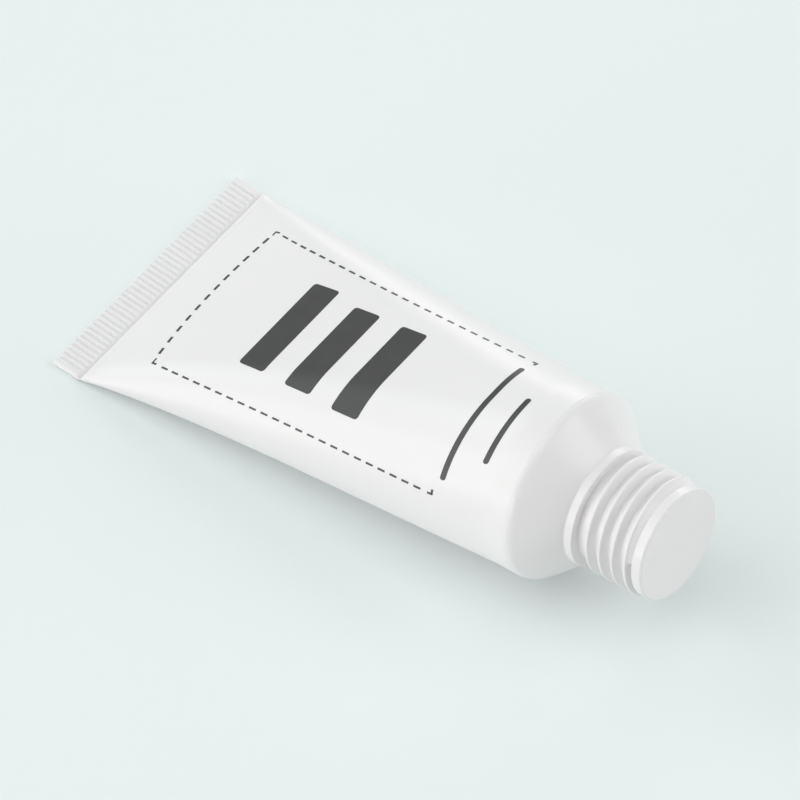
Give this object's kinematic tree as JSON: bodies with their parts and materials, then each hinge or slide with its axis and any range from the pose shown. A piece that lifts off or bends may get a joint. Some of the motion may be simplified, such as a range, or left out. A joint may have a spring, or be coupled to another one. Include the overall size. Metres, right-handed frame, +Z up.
{
  "type": "sunscreen squeeze tube",
  "caption": "Small soft plastic squeeze tube lying on its side, with a ribbed flat crimp at one end and a threaded neck with a sealed mouth at the other.",
  "frame": {"origin": "on the sleeve's flat underside, below the centre of the bounding box, where the tube lies on the floor", "axes": "+Z up, away from the floor; +X level, the way the neck points; the tube's own axis rises 8 degrees above +X; +Y across the tube"},
  "size_m": [0.0944, 0.0408, 0.0282],
  "materials": {
    "sleeve_plastic": "satin",
    "head_plastic": "satin",
    "seal_film": "satin",
    "cream": "satin"
  },
  "bodies": {
    "tube": {"tube_sleeve": "sleeve_plastic", "shoulder_neck": "head_plastic", "sunscreen_cream": "cream"},
    "seal": {"mouth_seal": "seal_film"}
  },
  "joints": [
    {"name": "seal_lift", "type": "slide", "parent": "tube", "child": "seal", "axis": [0.9903, 0, 0.1392], "range_m": [0, 0.03]}
  ]
}
